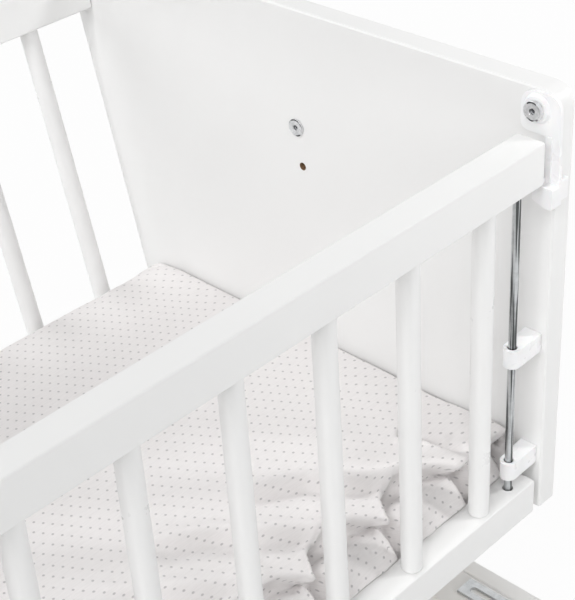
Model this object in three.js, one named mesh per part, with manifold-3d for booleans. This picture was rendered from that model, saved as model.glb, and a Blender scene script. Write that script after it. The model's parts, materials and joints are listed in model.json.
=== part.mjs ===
// Bedside crib with two solid end panels, a leaning barred back and a front gate that slides down.
// Millimetres, +X along the crib, +Y to its back, +Z up, origin under the middle of the whole part.
import * as THREE from "three";
import { RoundedBoxGeometry } from "three/addons/geometries/RoundedBoxGeometry.js";
import { mergeVertices } from "three/addons/utils/BufferGeometryUtils.js";
import Module from "manifold-3d";

const wasm = await Module();
wasm.setup();

// Fits
const seat = 0.3; // between two pieces that rest on or pass through each other
const overrun = 2; // by which a cutting tool passes the face that it opens
const RIGHT = 1;
const LEFT = -1;
const SIDES = [["right", RIGHT], ["left", LEFT]];

// Bars, which set the length of the crib
const barCount = 11;
const barPitch = 78.5;
const barDiameter = 16;
const barSetback = 11; // from the front of the gate to the middle of its bars
const endBarInset = 64; // from the middle of the last bar to the end panel
const innerLength = 2 * endBarInset + (barCount - 1) * barPitch;
const halfLength = innerLength / 2;

// End panels
const panelThickness = 20;
const panelHeight = 361;
const panelFootDepth = 456.5;
const panelLean = THREE.MathUtils.degToRad(11.5); // of the back edge, away from the front
const panelCorner = 15;
const panelHeel = 2; // rounding of the two lower corners
const panelEdge = 1.5;
const panelTopDepth = panelFootDepth + panelHeight * Math.tan(panelLean);

// Bolt that carries each end panel on its leg, and the spare hole under it
const panelBoltY = 246.9;
const panelBoltZ = 260.3;
const spareHoleY = 242.9;
const spareHoleZ = 226;
const spareHoleRadius = 3.3;
const panelBoltRadius = 4;
const panelBoltHeadRadius = 7.5;
const panelBoltHead = 1.6;
const panelBoltBite = 30; // length inside the post
const socketRadius = 2.5;
const socketDepth = 2;

// Rails of the gate and of the back
const railDepth = 24;
const railEdge = 2;
const topRailHeight = 33;
const topRailDrop = 63.5; // from the top of the end panels down to the rail's underside
const topRailZ = panelHeight - topRailDrop;
const topRailEndGap = 12;
const bottomRailHeight = 32;
const bottomRailZ = 1.2;
const bottomRailEndGap = 6.5;
const backTopRailDrop = 58; // from the top of the end panels, along the lean
const backTopRailZ = panelHeight - backTopRailDrop;
const backBottomRailZ = 4; // along the lean

// Guide rods of the gate
const rodRadius = 3;
const rodInset = 27.5; // from the end panel
const rodSink = 9; // length of the rod inside each rail
const rodHoleRadius = 4.2;

// Brackets that the rods slide through
const bracketHeight = 15.5;
const bracketTops = [["upper", 166.5], ["lower", 61]];
const bracketRingRadius = 6.6;
const bracketBoreRadius = 3.8;
const bracketFrontY = 4.8;
const bracketBackY = 19.5;

// Catches that hold the gate up, and the bolts that they swing on
const catchPivotY = 14.5;
const catchPivotDrop = 13.7; // below the top of the end panel
const catchPivotZ = panelHeight - catchPivotDrop;
const catchThickness = 3; // of the plate that lies along the end panel
const catchTopDrop = 1.5; // below the top of the end panel
const catchTopZ = panelHeight - catchTopDrop;
const catchHeadFrontY = -4.7;
const catchHeadBackY = 28;
const catchHeadDip = 1.3; // of the head's lower edge, below the rail's upper face
const catchHeadBottomZ = topRailZ + topRailHeight - catchHeadDip;
const catchHeadRounding = 12;
const catchHeelRounding = 7; // of the head's lower back corner
const catchWaistFrontY = -4.8;
const catchWaistBackY = 2.8;
const catchWaistDrop = 5; // below the head
const catchWaistZ = catchHeadBottomZ - catchWaistDrop;
const catchWaistRounding = 4;
const catchFootFrontY = -6.2; // of the arm's foot, the block and the tab
const catchFootBackY = 1.5;
const catchRibThickness = 4; // of the rib behind the arm, which stands out further than the plate
const catchRibFrontY = 1.2;
const catchRibBackY = 6.2;
const catchBossRadius = 11; // at the plate
const catchBossTopRadius = 9.4;
const catchBossRise = 2.6;
const catchBlockWidth = 11.2; // from the plate's outer face
const catchBlockBackY = 10.5;
const catchBlockTopDrop = 2.5; // below the rail's underside
const catchBlockTopZ = topRailZ - catchBlockTopDrop;
const catchLedgeRise = 1; // above the rail's underside
const catchLedgeZ = topRailZ + catchLedgeRise; // top of the block under the stud
const catchLedgeY = 5.2; // where the ledge begins
const catchBlockHeight = 16;
const catchBlockBottomZ = catchBlockTopZ - catchBlockHeight;
const catchRampFrontY = -1; // where the lower face begins to rise
const catchRampRise = 4;
const catchBlockRounding = 1.5;
const catchTabReach = 7; // across the front of the end panel
const catchTabRise = 3; // of the tab's lower edge, above the block's
const catchTabBackY = -1.2;
const catchBoltRadius = 3;
const catchBoltHeadRadius = 7.3;
const catchBoltHead = 3.2;
const catchBoltBite = 14; // length inside the end panel

// Studs on the ends of the gate's top rail, which stand on the catches
const studRadius = 2;
const studY = 8;
const studLength = 7.4;

// Base under the mattress
const stretcherWidth = 24;
const stretcherHeight = 8;
const boardThickness = 6;
const boardFrontGap = 2; // behind the gate

// Mattress
const mattressFrontY = 35;
const mattressTopZ = 69;
const mattressEndGap = 1.5;
const mattressFrontCorner = 34;
const mattressBackCorner = 16;
const mattressCrown = 2.5;
const mattressFrontEdge = 25; // width of the rounded upper edge
const mattressFrontDrop = 20;
const mattressSideEdge = 4; // the same at the ends and at the back
const mattressSideDrop = 6;
const mattressDraw = 3; // by which the side draws in at its foot

// Legs: a post, a foot beam that reaches forward under the big bed, and a cheek over both
const bedLift = 194; // end panel above the foot beam
const postThickness = 44.8;
const postWidth = 95;
const postTopZ = 300;
const footHeight = 40;
const footReach = 200; // in front of the crib
const footBackY = 470;
const legEdge = 2;
const cheekThickness = 17.2;
const cheekFillet = 25;
const cheekCorner = 6;
const glideRadius = 15;
const glideHeight = 8;
const glideInset = 35; // from each end of the foot beam

// Slotted plate that holds the crib to the big bed, and its bolt
const plateWidth = 20.4;
const plateInset = 5.9; // from the outer face of the foot beam
const plateThickness = 3;
const plateBackY = 112;
const plateReach = 170; // in front of the crib
const plateLip = 28; // height of its turned-up end
const slotWidth = 7;
const slotBackY = 103.5;
const slotFrontY = -20;
const plateBoltY = 20;
const plateBoltRadius = 3;
const plateBoltHeadRadius = 6.5;
const plateBoltHead = 4;
const plateBoltBite = 22; // length inside the foot beam

// Facets
const roundSides = 24;
const arcSteps = 4;

// Heights from the floor
const footTop = glideHeight + seat + footHeight;
const bodyZ = footTop + bedLift; // lower edge of the end panels

// Paints and metals
const whitePaint = { color: 0xf1f1ef, roughness: 0.42, metalness: 0 };
const whitePlastic = { color: 0xf3f3f1, roughness: 0.35, metalness: 0 };
const zincSteel = { color: 0xa7abae, roughness: 0.38, metalness: 1 };
const boltSteel = { color: 0x9a9da1, roughness: 0.34, metalness: 1 };
const sheetCotton = { color: 0xe9e8e5, roughness: 0.95, metalness: 0 };
const rawBoard = { color: 0xd9cdb8, roughness: 0.8, metalness: 0 };
const greyFelt = { color: 0x8b8b88, roughness: 0.95, metalness: 0 };

const part = new THREE.Group();

function addMesh(name, geometry, look, parent = part) {
  const mesh = new THREE.Mesh(geometry, new THREE.MeshStandardMaterial(look));
  mesh.name = name;
  parent.add(mesh);
  return mesh;
}

// Booleans

function toSolid(geometry) {
  const bare = geometry.clone();
  bare.deleteAttribute("normal");
  bare.deleteAttribute("uv");
  const welded = mergeVertices(bare);
  const vertProperties = new Float32Array(welded.attributes.position.array);
  const triVerts = new Uint32Array(welded.index.array);
  return new wasm.Manifold(new wasm.Mesh({ numProp: 3, vertProperties, triVerts }));
}

function toGeometry(solid) {
  const mesh = solid.getMesh();
  const geometry = new THREE.BufferGeometry();
  geometry.setAttribute("position", new THREE.BufferAttribute(mesh.vertProperties, 3));
  geometry.setIndex(new THREE.BufferAttribute(mesh.triVerts, 1));
  return geometry;
}

function joined(geometries) {
  const solids = geometries.map(toSolid);
  return toGeometry(solids.slice(1).reduce((whole, piece) => whole.add(piece), solids[0]));
}

function cut(geometry, tools) {
  return toGeometry(tools.map(toSolid).reduce((rest, tool) => rest.subtract(tool), toSolid(geometry)));
}

// Shapes

// Box between two corners, its edges rounded
function roundedBox(from, to, radius) {
  const size = to.map((end, axis) => end - from[axis]);
  const box = new RoundedBoxGeometry(...size, 1, radius);
  return box.translate(...to.map((end, axis) => (end + from[axis]) / 2));
}

// Closed outline through corners [u, v, rounding]
function roundedOutline(corners) {
  const shape = new THREE.Shape();
  corners.forEach(([u, v, rounding], i) => {
    const corner = new THREE.Vector2(u, v);
    const before = new THREE.Vector2(...corners.at(i - 1)).sub(corner).setLength(rounding).add(corner);
    const after = new THREE.Vector2(...corners[(i + 1) % corners.length]);
    after.sub(corner).setLength(rounding).add(corner);
    if (i === 0) shape.moveTo(before.x, before.y);
    else shape.lineTo(before.x, before.y);
    if (rounding > 0) shape.quadraticCurveTo(u, v, after.x, after.y);
  });
  shape.closePath();
  return shape;
}

// Prism over an outline in X and Y
function prismZ(shape, fromZ, toZ) {
  const low = Math.min(fromZ, toZ);
  const options = { depth: Math.abs(toZ - fromZ), bevelEnabled: false, curveSegments: arcSteps };
  return new THREE.ExtrudeGeometry(shape, options).translate(0, 0, low);
}

// Turns a prism over an outline in Y and Z so that it runs along X
function turnToX(geometry) {
  const basis = new THREE.Matrix4().makeBasis(
    new THREE.Vector3(0, 1, 0),
    new THREE.Vector3(0, 0, 1),
    new THREE.Vector3(1, 0, 0),
  );
  return geometry.applyMatrix4(basis);
}

// Prism over an outline in Y and Z, with its rims chamfered when an edge is given
function prismX(shape, fromX, toX, edge = 0) {
  const low = Math.min(fromX, toX);
  const geometry = new THREE.ExtrudeGeometry(shape, {
    depth: Math.abs(toX - fromX) - 2 * edge,
    bevelEnabled: edge > 0,
    bevelThickness: edge,
    bevelSize: edge,
    bevelOffset: -edge,
    bevelSegments: 1,
    curveSegments: arcSteps,
  });
  return turnToX(geometry).translate(low + edge, 0, 0);
}

function cylinderX(radius, fromX, toX, y, z) {
  const cylinder = new THREE.CylinderGeometry(radius, radius, Math.abs(toX - fromX), roundSides);
  return cylinder.rotateZ(Math.PI / 2).translate((fromX + toX) / 2, y, z);
}

function cylinderZ(radius, fromZ, toZ, x, y) {
  const cylinder = new THREE.CylinderGeometry(radius, radius, Math.abs(toZ - fromZ), roundSides);
  return cylinder.rotateX(Math.PI / 2).translate(x, y, (fromZ + toZ) / 2);
}

// Hexagonal socket whose mouth faces along X or Z
function hexTool(axis, x, y, z) {
  const hex = new THREE.CylinderGeometry(socketRadius, socketRadius, 2 * socketDepth, 6);
  const turned = axis === "x" ? hex.rotateZ(Math.PI / 2) : hex.rotateX(Math.PI / 2);
  return turned.translate(x, y, z);
}

// Bolt along X: flat head with a socket on the inner side, shank running outward
function boltX(side, headX, head, headRadius, radius, length, y, z) {
  const under = headX + side * head;
  const blank = joined([
    cylinderX(headRadius, headX, under, y, z),
    cylinderX(radius, under - side * head / 2, under + side * length, y, z),
  ]);
  return cut(blank, [hexTool("x", headX, y, z)]);
}

// End panels

function endPanel(side) {
  const outline = roundedOutline([
    [0, bodyZ, panelHeel],
    [panelFootDepth, bodyZ, panelHeel],
    [panelTopDepth, bodyZ + panelHeight, panelCorner],
    [0, bodyZ + panelHeight, panelCorner],
  ]);
  const inner = side * halfLength;
  const outer = inner + side * panelThickness;
  const panel = prismX(outline, inner, outer, panelEdge);
  const before = inner - side * overrun;
  const beyond = outer + side * overrun;
  return cut(panel, [
    cylinderX(panelBoltRadius + seat, before, beyond, panelBoltY, bodyZ + panelBoltZ),
    cylinderX(spareHoleRadius, before, beyond, spareHoleY, bodyZ + spareHoleZ),
    cylinderX(
      catchBoltRadius + seat,
      before,
      inner + side * (catchBoltBite + seat),
      catchPivotY,
      bodyZ + catchPivotZ,
    ),
  ]);
}

// Gate

function barX(index) {
  return -halfLength + endBarInset + index * barPitch;
}

function rodTool(side, fromZ, toZ) {
  return cylinderZ(rodHoleRadius, fromZ, toZ, side * (halfLength - rodInset), barSetback);
}

function gateRail(railZ, height, endGap, holeFromZ, holeToZ) {
  const end = halfLength - endGap;
  const rail = roundedBox([-end, 0, railZ], [end, railDepth, railZ + height], railEdge);
  return cut(rail, SIDES.map(([, side]) => rodTool(side, holeFromZ, holeToZ)));
}

const gateRailTop = bodyZ + topRailZ;
const gateFloorZ = bodyZ + bottomRailZ + bottomRailHeight; // top of the bottom rail

function buildGate() {
  const topHoleEnd = gateRailTop + rodSink + seat;
  const bottomHoleEnd = gateFloorZ - rodSink - seat;
  addMesh(
    "gate_rail_top",
    gateRail(gateRailTop, topRailHeight, topRailEndGap, gateRailTop - overrun, topHoleEnd),
    whitePaint,
  );
  addMesh(
    "gate_rail_bottom",
    gateRail(bodyZ + bottomRailZ, bottomRailHeight, bottomRailEndGap, bottomHoleEnd, gateFloorZ + overrun),
    whitePaint,
  );
  for (let i = 0; i < barCount; i += 1) {
    const bar = cylinderZ(barDiameter / 2, gateFloorZ + seat, gateRailTop - seat, barX(i), barSetback);
    addMesh(`gate_bar_${String(i + 1).padStart(2, "0")}`, bar, whitePaint);
  }
  for (const [name, side] of SIDES) {
    const rodX = side * (halfLength - rodInset);
    const rod = cylinderZ(rodRadius, gateFloorZ - rodSink, gateRailTop + rodSink, rodX, barSetback);
    addMesh(`gate_rod_${name}`, rod, zincSteel);
    const studX = side * (halfLength - topRailEndGap + seat);
    const studZ = bodyZ + catchLedgeZ + seat + studRadius;
    const stud = cylinderX(studRadius, studX, studX + side * studLength, studY, studZ);
    addMesh(`gate_stud_${name}`, stud, zincSteel);
  }
}

// Brackets for the rods

// Outline in X and Y: a ring round the rod, drawn out to a foot on the end panel
function bracketOutline(side) {
  const footX = side * (halfLength - seat);
  const ringX = side * (halfLength - rodInset);
  const front = new THREE.Vector2(footX, bracketFrontY);
  const back = new THREE.Vector2(footX, bracketBackY);
  const ring = new THREE.Vector2(ringX, barSetback);
  const tangentAngle = (point, turn) => {
    const reach = point.clone().sub(ring);
    return reach.angle() + turn * Math.acos(bracketRingRadius / reach.length());
  };
  const shape = new THREE.Shape();
  const start = tangentAngle(back, side);
  const end = tangentAngle(front, -side);
  shape.absarc(ring.x, ring.y, bracketRingRadius, start, end, side < 0);
  shape.lineTo(front.x, front.y);
  shape.lineTo(back.x, back.y);
  shape.closePath();
  const bore = new THREE.Path();
  bore.absarc(ring.x, ring.y, bracketBoreRadius, 0, 2 * Math.PI, false);
  shape.holes.push(bore);
  return shape;
}

function buildBrackets() {
  for (const [name, side] of SIDES) {
    for (const [level, topZ] of bracketTops) {
      const top = bodyZ + topZ;
      const options = { depth: bracketHeight, bevelEnabled: false, curveSegments: roundSides };
      const bracket = new THREE.ExtrudeGeometry(bracketOutline(side), options);
      bracket.translate(0, 0, top - bracketHeight);
      addMesh(`rod_bracket_${level}_${name}`, bracket, whitePlastic);
    }
  }
}

// Catches

const catchHeadX = seat + catchThickness + catchBossRise; // from the end panel to the bolt's head

function catchBoss(side) {
  const bore = catchBoltRadius + seat;
  const profile = [
    [bore, 0],
    [catchBossRadius, 0],
    [catchBossRadius, catchThickness],
    [catchBossTopRadius, catchThickness + catchBossRise],
    [bore, catchThickness + catchBossRise],
    [bore, 0],
  ].map(([radius, rise]) => new THREE.Vector2(radius, rise));
  const boss = new THREE.LatheGeometry(profile, roundSides);
  const inward = side > 0 ? Math.PI / 2 : -Math.PI / 2;
  return boss.rotateZ(inward).translate(side * (halfLength - seat), catchPivotY, bodyZ + catchPivotZ);
}

// Outline in Y and Z of the plate: a broad head round the bolt and a narrow arm down to the block
function catchOutline() {
  const foot = bodyZ + catchBlockTopZ - catchBlockRounding;
  const top = bodyZ + catchTopZ;
  const headBottom = bodyZ + catchHeadBottomZ;
  const waist = bodyZ + catchWaistZ;
  return roundedOutline([
    [catchFootFrontY, foot, 0],
    [catchFootBackY, foot, 0],
    [catchWaistBackY, waist, catchWaistRounding],
    [catchPivotY - 2 * catchWaistRounding, headBottom, catchWaistRounding],
    [catchHeadBackY, headBottom, catchHeelRounding],
    [catchHeadBackY, top, catchHeadRounding],
    [catchHeadFrontY, top, catchHeadRounding],
    [catchWaistFrontY, waist, catchWaistRounding],
  ]);
}

// Outline in Y and Z of the rib that stiffens the arm from the block up to the head
function catchRibOutline() {
  const foot = bodyZ + catchBlockTopZ - catchBlockRounding;
  const headBottom = bodyZ + catchHeadBottomZ + seat;
  return roundedOutline([
    [catchRibFrontY, foot, 0],
    [catchRibBackY, foot, 0],
    [catchRibBackY, headBottom, 0],
    [catchRibFrontY, headBottom, 0],
  ]);
}

// Outline in Y and Z of the block that the stud stands on
function catchBlockOutline() {
  const bottom = bodyZ + catchBlockBottomZ;
  const ledge = bodyZ + catchLedgeZ;
  const top = bodyZ + catchBlockTopZ;
  return roundedOutline([
    [catchFootFrontY, bottom, catchBlockRounding],
    [catchRampFrontY, bottom, 0],
    [catchBlockBackY, bottom + catchRampRise, catchBlockRounding],
    [catchBlockBackY, ledge, 0],
    [catchLedgeY, ledge, 0],
    [catchLedgeY, top, catchBlockRounding],
    [catchFootFrontY, top, catchBlockRounding],
  ]);
}

function catchPiece(side) {
  const faceX = side * (halfLength - seat);
  const plateX = faceX - side * catchThickness;
  const tabBottom = bodyZ + catchBlockBottomZ + catchTabRise;
  const tab = roundedOutline([
    [catchFootFrontY, tabBottom, catchBlockRounding],
    [catchTabBackY, tabBottom, 0],
    [catchTabBackY, bodyZ + catchLedgeZ, 0],
    [catchFootFrontY, bodyZ + catchLedgeZ, catchBlockRounding],
  ]);
  const body = joined([
    prismX(catchOutline(), faceX, plateX),
    prismX(catchRibOutline(), faceX, faceX - side * catchRibThickness),
    prismX(catchBlockOutline(), faceX, faceX - side * catchBlockWidth),
    prismX(tab, plateX, side * (halfLength + catchTabReach)),
    catchBoss(side),
  ]);
  const bore = cylinderX(
    catchBoltRadius + seat,
    side * (halfLength + overrun),
    side * (halfLength - catchHeadX - overrun),
    catchPivotY,
    bodyZ + catchPivotZ,
  );
  return cut(body, [bore]);
}

function buildCatches() {
  for (const [name, side] of SIDES) {
    addMesh(`catch_${name}`, catchPiece(side), whitePlastic);
    const headX = side * (halfLength - catchHeadX - seat - catchBoltHead);
    const bolt = boltX(
      side,
      headX,
      catchBoltHead,
      catchBoltHeadRadius,
      catchBoltRadius,
      catchHeadX + seat + catchBoltBite,
      catchPivotY,
      bodyZ + catchPivotZ,
    );
    addMesh(`catch_bolt_${name}`, bolt, boltSteel);
  }
}

// Leaning back

// Frame whose own Z runs up the back edge of the end panels and whose own Y points away from the crib
function leaningFrame() {
  const frame = new THREE.Group();
  frame.position.set(0, panelFootDepth, bodyZ);
  frame.rotation.x = -panelLean;
  part.add(frame);
  return frame;
}

function buildBack() {
  const frame = leaningFrame();
  const end = halfLength - seat;
  const rail = (fromZ, height) => roundedBox([-end, -railDepth, fromZ], [end, 0, fromZ + height], railEdge);
  addMesh("back_rail_top", rail(backTopRailZ, topRailHeight), whitePaint, frame);
  addMesh("back_rail_bottom", rail(backBottomRailZ, bottomRailHeight), whitePaint, frame);
  const fromZ = backBottomRailZ + bottomRailHeight + seat;
  for (let i = 0; i < barCount; i += 1) {
    const bar = cylinderZ(barDiameter / 2, fromZ, backTopRailZ - seat, barX(i), -railDepth / 2);
    addMesh(`back_bar_${String(i + 1).padStart(2, "0")}`, bar, whitePaint, frame);
  }
}

// Base and mattress

const boardZ = bodyZ + stretcherHeight + seat;
const boardTop = boardZ + boardThickness;
const boardFrontY = railDepth + boardFrontGap;

// Inner face of the leaning bottom rail at a height above the end panels' lower edge
function backFaceY(height) {
  return panelFootDepth + height * Math.tan(panelLean) - railDepth / Math.cos(panelLean);
}

const boardBackY = backFaceY(boardZ - bodyZ) - seat;

function buildBase() {
  const end = halfLength - seat;
  const stretcherBackY = backFaceY(backBottomRailZ * Math.cos(panelLean)) - seat;
  const spans = [["front", boardFrontY], ["back", stretcherBackY - stretcherWidth]];
  for (const [name, fromY] of spans) {
    const from = [-end, fromY, bodyZ];
    const to = [end, fromY + stretcherWidth, bodyZ + stretcherHeight];
    addMesh(`base_stretcher_${name}`, roundedBox(from, to, panelEdge), whitePaint);
  }
  const board = roundedBox([-end, boardFrontY, boardZ], [end, boardBackY, boardTop], panelEdge);
  addMesh("base_board", board, rawBoard);
}

// Outline of the mattress in plan: points, each with the direction that faces outward there
function mattressOutline(halfX, frontY, backY) {
  const outline = [];
  const steps = 2 * arcSteps;
  for (let quarter = 0; quarter < 4; quarter += 1) {
    const towardX = quarter === 0 || quarter === 3 ? 1 : -1;
    const atBack = quarter < 2;
    const corner = atBack ? mattressBackCorner : mattressFrontCorner;
    const centreX = towardX * (halfX - corner);
    const centreY = atBack ? backY - corner : frontY + corner;
    for (let i = 0; i <= steps; i += 1) {
      const angle = (quarter + i / steps) * Math.PI / 2;
      const outX = Math.cos(angle);
      const outY = Math.sin(angle);
      outline.push({ x: centreX + corner * outX, y: centreY + corner * outY, outX, outY });
    }
  }
  return outline;
}

// Levels of the mattress from its foot to its crown. Each takes the width and the drop of the rounded edge
// and gives the inset from the side, the height, and the share of the way to the middle line.
function mattressLevels(height) {
  const shoulder = height - mattressCrown;
  const levels = [() => [mattressDraw, 0, 0], (width, drop) => [0, (shoulder - drop) / 2, 0]];
  for (let i = 0; i <= arcSteps; i += 1) {
    const turn = i / arcSteps * Math.PI / 2;
    levels.push((width, drop) => [width * (1 - Math.cos(turn)), shoulder - drop * (1 - Math.sin(turn)), 0]);
  }
  for (let i = 1; i < arcSteps; i += 1) {
    const across = i / arcSteps;
    levels.push((width) => [width, height - mattressCrown * (1 - across) ** 2, across]);
  }
  return levels;
}

// One point of the mattress: the front stands upright and the back follows the lean of the crib
function mattressPoint(place, level, halfX, frontY, backY) {
  const frontShare = Math.max(0, -place.outY);
  const width = THREE.MathUtils.lerp(mattressSideEdge, mattressFrontEdge, frontShare);
  const drop = THREE.MathUtils.lerp(mattressSideDrop, mattressFrontDrop, frontShare);
  const [inset, rise, across] = level(width, drop);
  const halfY = (backY - frontY) / 2;
  const shrink = 1 - across * halfY / halfX;
  const x = (place.x - place.outX * inset) * shrink;
  const y = THREE.MathUtils.lerp(place.y - place.outY * inset, frontY + halfY, across);
  const backShare = (y - frontY) / (backY - frontY);
  return [x, y + backShare * rise * Math.tan(panelLean), rise];
}

// Triangles over rings of points that close in a point at each end
function closedRings(count, rings) {
  const last = 1 + count * rings;
  const triangles = [];
  for (let i = 0; i < count; i += 1) {
    const next = (i + 1) % count;
    triangles.push(0, 1 + next, 1 + i);
    for (let ring = 0; ring < rings - 1; ring += 1) {
      const low = 1 + ring * count;
      const high = low + count;
      triangles.push(low + i, low + next, high + next, low + i, high + next, high + i);
    }
    triangles.push(last, last - count + i, last - count + next);
  }
  return triangles;
}

function mattressGeometry() {
  const fromZ = boardTop + seat;
  const height = bodyZ + mattressTopZ - fromZ;
  const backY = backFaceY(fromZ - bodyZ) - seat;
  const middleY = (mattressFrontY + backY) / 2;
  const halfX = halfLength - mattressEndGap;
  const outline = mattressOutline(halfX, mattressFrontY, backY);
  const levels = mattressLevels(height);
  const points = [0, middleY, 0];
  for (const level of levels) {
    for (const place of outline) {
      points.push(...mattressPoint(place, level, halfX, mattressFrontY, backY));
    }
  }
  points.push(0, middleY + height * Math.tan(panelLean) / 2, height);
  const geometry = new THREE.BufferGeometry();
  geometry.setAttribute("position", new THREE.Float32BufferAttribute(points, 3));
  geometry.setIndex(closedRings(outline.length, levels.length));
  return geometry.translate(0, 0, fromZ);
}

// Legs

const postInnerX = halfLength + panelThickness + seat; // distance from the middle of the crib
const postOuterX = postInnerX + postThickness;
const cheekInnerX = postOuterX + seat;
const postFrontY = panelBoltY - postWidth / 2;
const postBackY = panelBoltY + postWidth / 2;
const plateOuterX = postOuterX - plateInset;
const plateBoltX = plateOuterX - plateWidth / 2;
const plateZ = footTop + seat;

function legPost(side) {
  const xs = [side * postInnerX, side * postOuterX].sort((a, b) => a - b);
  const top = bodyZ + postTopZ;
  const post = roundedBox([xs[0], postFrontY, footTop + seat], [xs[1], postBackY, top], legEdge);
  const before = side * (postInnerX - overrun);
  const beyond = side * (postOuterX + overrun);
  return cut(post, [
    cylinderX(panelBoltRadius + seat, before, beyond, panelBoltY, bodyZ + panelBoltZ),
    cylinderX(spareHoleRadius, before, beyond, spareHoleY, bodyZ + spareHoleZ),
  ]);
}

function footBeam(side) {
  const xs = [side * postInnerX, side * postOuterX].sort((a, b) => a - b);
  const from = [xs[0], -footReach, glideHeight + seat];
  const beam = roundedBox(from, [xs[1], footBackY, footTop], legEdge);
  const deepest = plateZ - seat - plateBoltBite - seat;
  const boltHole = cylinderZ(
    plateBoltRadius + seat,
    deepest,
    footTop + overrun,
    side * plateBoltX,
    plateBoltY,
  );
  return cut(beam, [boltHole]);
}

// Board in the shape of an upturned T, over the outer side of the post and the foot beam
function legCheek(side) {
  const low = glideHeight + seat;
  const top = bodyZ + postTopZ;
  const outline = roundedOutline([
    [-footReach, low, cheekCorner],
    [footBackY, low, cheekCorner],
    [footBackY, footTop, cheekCorner],
    [postBackY, footTop, cheekFillet],
    [postBackY, top, cheekCorner],
    [postFrontY, top, cheekCorner],
    [postFrontY, footTop, cheekFillet],
    [-footReach, footTop, cheekCorner],
  ]);
  return prismX(outline, side * cheekInnerX, side * (cheekInnerX + cheekThickness), panelEdge);
}

function slotTool(side) {
  const radius = slotWidth / 2;
  const x = side * plateBoltX;
  const slot = new THREE.Shape();
  slot.absarc(x, slotBackY - radius, radius, 0, Math.PI, false);
  slot.absarc(x, slotFrontY + radius, radius, Math.PI, 2 * Math.PI, false);
  slot.closePath();
  return prismZ(slot, plateZ - overrun, plateZ + plateThickness + overrun);
}

function footPlate(side) {
  const outline = roundedOutline([
    [plateBackY, plateZ, 0],
    [plateBackY, plateZ + plateThickness, 0],
    [plateThickness - plateReach, plateZ + plateThickness, 0],
    [plateThickness - plateReach, plateZ + plateLip, 0],
    [-plateReach, plateZ + plateLip, 0],
    [-plateReach, plateZ, plateThickness],
  ]);
  const plate = prismX(outline, side * (plateOuterX - plateWidth), side * plateOuterX);
  return cut(plate, [slotTool(side)]);
}

function plateBolt(side) {
  const under = plateZ + plateThickness + seat;
  const x = side * plateBoltX;
  const blank = joined([
    cylinderZ(plateBoltHeadRadius, under, under + plateBoltHead, x, plateBoltY),
    cylinderZ(plateBoltRadius, footTop - plateBoltBite, under + plateBoltHead / 2, x, plateBoltY),
  ]);
  return cut(blank, [hexTool("z", x, plateBoltY, under + plateBoltHead)]);
}

function panelBolt(side) {
  const headX = side * (halfLength - seat - panelBoltHead);
  return boltX(
    side,
    headX,
    panelBoltHead,
    panelBoltHeadRadius,
    panelBoltRadius,
    seat + panelThickness + seat + panelBoltBite,
    panelBoltY,
    bodyZ + panelBoltZ,
  );
}

function buildLegs() {
  for (const [name, side] of SIDES) {
    addMesh(`end_panel_${name}`, endPanel(side), whitePaint);
    addMesh(`panel_bolt_${name}`, panelBolt(side), boltSteel);
    addMesh(`leg_post_${name}`, legPost(side), whitePaint);
    addMesh(`leg_cheek_${name}`, legCheek(side), whitePaint);
    addMesh(`foot_beam_${name}`, footBeam(side), whitePaint);
    addMesh(`foot_plate_${name}`, footPlate(side), zincSteel);
    addMesh(`plate_bolt_${name}`, plateBolt(side), boltSteel);
    const glideX = side * (postInnerX + postOuterX) / 2;
    const places = [["front", glideInset - footReach], ["back", footBackY - glideInset]];
    for (const [place, y] of places) {
      addMesh(`foot_glide_${place}_${name}`, cylinderZ(glideRadius, 0, glideHeight, glideX, y), greyFelt);
    }
  }
}

buildLegs();
buildGate();
buildBrackets();
buildCatches();
buildBack();
buildBase();
addMesh("mattress", mattressGeometry(), sheetCotton);

// Puts the origin under the middle of the whole part
const box = new THREE.Box3().setFromObject(part);
part.position.y = -(box.min.y + box.max.y) / 2;
part.updateMatrixWorld(true);

export default part;
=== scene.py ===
"""Looks of a white bedside crib: lacquered wood, plastic catches and brackets, plated rods, a mattress in a
dotted cotton sheet. Metres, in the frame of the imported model."""

import json
import math

import bmesh
import bpy
import numpy as np
from mathutils import Matrix, Vector

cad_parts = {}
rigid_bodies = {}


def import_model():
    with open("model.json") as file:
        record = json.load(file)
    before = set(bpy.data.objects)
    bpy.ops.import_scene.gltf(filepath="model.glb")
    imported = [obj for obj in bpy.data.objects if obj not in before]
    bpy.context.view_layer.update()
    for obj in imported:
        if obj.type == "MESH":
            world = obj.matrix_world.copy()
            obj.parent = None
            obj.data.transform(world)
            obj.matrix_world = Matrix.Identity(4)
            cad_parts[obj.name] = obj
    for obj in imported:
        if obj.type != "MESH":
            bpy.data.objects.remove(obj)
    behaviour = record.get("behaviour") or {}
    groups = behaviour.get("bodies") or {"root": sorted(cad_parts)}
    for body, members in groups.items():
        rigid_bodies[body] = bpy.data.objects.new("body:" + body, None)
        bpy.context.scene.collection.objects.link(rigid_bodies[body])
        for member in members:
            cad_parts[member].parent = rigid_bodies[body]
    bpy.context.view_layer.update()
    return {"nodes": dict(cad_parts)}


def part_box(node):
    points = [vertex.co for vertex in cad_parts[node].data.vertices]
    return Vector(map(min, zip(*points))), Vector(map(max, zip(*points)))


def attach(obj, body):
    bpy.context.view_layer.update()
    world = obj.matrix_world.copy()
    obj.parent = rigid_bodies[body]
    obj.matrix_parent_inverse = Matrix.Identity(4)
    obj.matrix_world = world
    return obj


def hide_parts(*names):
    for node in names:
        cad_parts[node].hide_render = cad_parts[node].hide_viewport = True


for old in list(bpy.data.objects):
    bpy.data.objects.remove(old, do_unlink=True)

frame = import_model()
nodes = frame["nodes"]

# Places shared by several pieces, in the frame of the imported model
END_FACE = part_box("end_panel_right")[0].x  # inner face of the right end panel
PANEL_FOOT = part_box("end_panel_right")[0].z
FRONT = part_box("gate_rail_top")[0].y  # front face of the gate
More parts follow.
